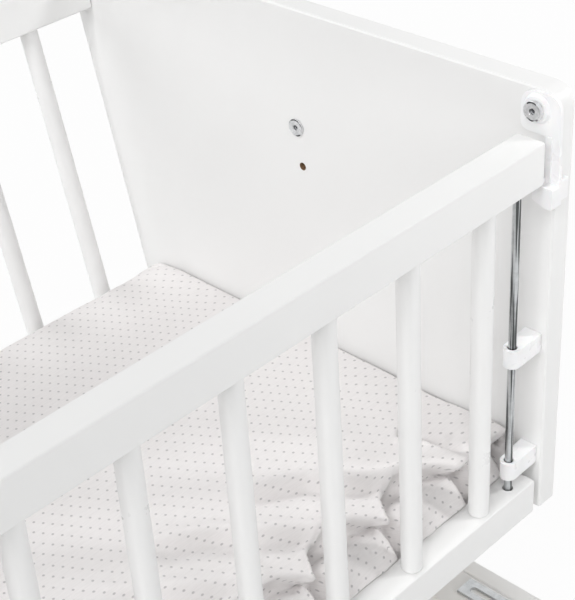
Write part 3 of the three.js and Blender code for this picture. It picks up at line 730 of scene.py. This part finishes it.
def lay_pattern(mesh, points, normals, across, along, held):
    """Unrolls the sheet: over the top and the front edge as it lies, down the other sides as it hangs."""
    layer = mesh.uv_layers.new(name="sheet")
    drop = np.maximum(0, MATTRESS_TOP - 0.014 - points[:, 2])
    flat = normals[:, :2] / np.maximum(np.linalg.norm(normals[:, :2], axis=1, keepdims=True), 1e-6)
    u = across + drop * flat[:, 0]
    v = along + (1 - held) * drop * flat[:, 1]
    loops = np.empty(len(mesh.loops), np.int32)
    mesh.loops.foreach_get("vertex_index", loops)
    layer.data.foreach_set("uv", np.column_stack((u[loops], v[loops])).astype(np.float32).ravel())


def make_mattress():
    cover = mattress_start()
    remesh = cover.modifiers.new("remesh", "REMESH")
    remesh.mode = "VOXEL"
    remesh.voxel_size = 0.004
    apply_modifiers(cover)
    plain = read_points(cover.data) + 0.005 * read_points(cover.data, "normal")
    swell(cover)
    swollen = read_points(cover.data)
    # The simulated softness is kept on the top and at the back, and leaves the worked front edge as it is
    soft = 0.5 * ease(plain[:, 1] - FRONT, 0.07, 0.14) * ease(END_FACE - np.abs(plain[:, 0]), 0.004, 0.05)
    points = plain + (swollen - plain) * soft[:, None]
    cover.data.vertices.foreach_set("co", points.ravel())
    cover.data.update()
    divide = cover.modifiers.new("divide", "SUBSURF")
    divide.levels = divide.render_levels = 1
    apply_modifiers(cover)
    mesh = cover.data
    laid, normals = read_points(mesh), read_points(mesh, "normal")
    draped, across, along, held = drape(laid)
    mesh.vertices.foreach_set("co", keep_clear(draped).ravel())
    mesh.polygons.foreach_set("use_smooth", np.ones(len(mesh.polygons), bool))
    mesh.update()
    lay_pattern(mesh, laid, normals, across, along, held)
    mesh.materials.clear()
    mesh.materials.append(sheet_material())
    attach(cover, "crib")
    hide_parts("mattress")


# Floor, world and lights

def make_floor():
    mesh = bpy.data.meshes.new("floor")
    side = 14
    corners = [(-side, -side, 0), (side, -side, 0), (side, side, 0), (-side, side, 0)]
    mesh.from_pydata(corners, [], [(0, 1, 2, 3)])
    floor = add_object("floor", mesh)
    floor.location.z = -0.0005
    material = bpy.data.materials.new("pale_floor")
    material.use_nodes = True
    tree = material.node_tree
    main = tree.nodes["Principled BSDF"]
    main.inputs["Base Color"].default_value = rgb(0.9, 0.9, 0.9)
    main.inputs["Roughness"].default_value = 0.8
    kinds = ("LightPath", "Emission", "MixShader")
    rays, glow, mix = (tree.nodes.new("ShaderNode" + kind) for kind in kinds)
    add, share = tree.nodes.new("ShaderNodeMath"), tree.nodes.new("ShaderNodeMath")
    add.operation, share.operation = "MAXIMUM", "MULTIPLY"
    share.inputs[1].default_value = 0.93
    tree.links.new(rays.outputs["Is Camera Ray"], add.inputs[0])
    tree.links.new(rays.outputs["Is Glossy Ray"], add.inputs[1])
    tree.links.new(add.outputs[0], share.inputs[0])
    tree.links.new(share.outputs[0], mix.inputs[0])
    tree.links.new(main.outputs[0], mix.inputs[1])
    tree.links.new(glow.outputs[0], mix.inputs[2])
    tree.links.new(mix.outputs[0], tree.nodes["Material Output"].inputs["Surface"])
    mesh.materials.append(material)


WORLD_LEVEL = 0.21  # light of the surroundings, which the camera and reflections see as white


def make_world():
    world = bpy.data.worlds.new("studio")
    bpy.context.scene.world = world
    world.use_nodes = True
    tree = world.node_tree
    tree.nodes.clear()
    rays = tree.nodes.new("ShaderNodeLightPath")
    seen, level = tree.nodes.new("ShaderNodeMath"), tree.nodes.new("ShaderNodeMapRange")
    seen.operation = "MAXIMUM"
    level.inputs["To Min"].default_value = WORLD_LEVEL
    level.inputs["To Max"].default_value = 1.0
    sky, out = tree.nodes.new("ShaderNodeBackground"), tree.nodes.new("ShaderNodeOutputWorld")
    sky.inputs["Color"].default_value = rgb(1, 1, 1)
    tree.links.new(rays.outputs["Is Camera Ray"], seen.inputs[0])
    tree.links.new(rays.outputs["Is Glossy Ray"], seen.inputs[1])
    tree.links.new(seen.outputs[0], level.inputs["Value"])
    tree.links.new(level.outputs[0], sky.inputs["Strength"])
    tree.links.new(sky.outputs[0], out.inputs["Surface"])


def point_back(lamp, toward):
    """Turns the lamp's back to a direction, so that it shines the other way."""
    lamp.rotation_mode = "QUATERNION"
    lamp.rotation_quaternion = toward.to_track_quat("Z", "Y")


def sun(name, strength, angle, azimuth, height):
    """Light from a direction: azimuth 0 is the front, 90 the left end, and height is above the floor."""
    data = bpy.data.lights.new(name, "SUN")
    data.energy = strength
    data.angle = math.radians(angle)
    a, h = math.radians(azimuth), math.radians(height)
    toward = Vector((-math.sin(a) * math.cos(h), -math.cos(a) * math.cos(h), math.sin(h)))
    point_back(add_object(name, data), toward)


def make_lights():
    make_world()
    sun("key", 0.61, 8, 85, 35)
    sun("front_left", 0.80, 25, 60, 50)
    sun("left_low", 0.30, 25, 60, 20)
    sun("front_low", 0.33, 25, 20, 20)
    sun("back_left", 0.42, 30, 125, 22)
    sun("back", 0.88, 25, 180, 48)
    data = bpy.data.lights.new("near_right", "AREA")
    data.shape = "DISK"
    data.size = 0.12
    data.energy = 3.2
    lamp = add_object("near_right", data)
    lamp.location = (0.94, -0.71, 1.03)
    point_back(lamp, lamp.location - Vector((0.35, 0, 0.4)))


def main():
    bpy.context.scene.view_settings.view_transform = "Standard"
    make_camera()
    dress_nodes()
    make_mattress()
    make_floor()
    make_lights()
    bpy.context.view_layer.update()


main()
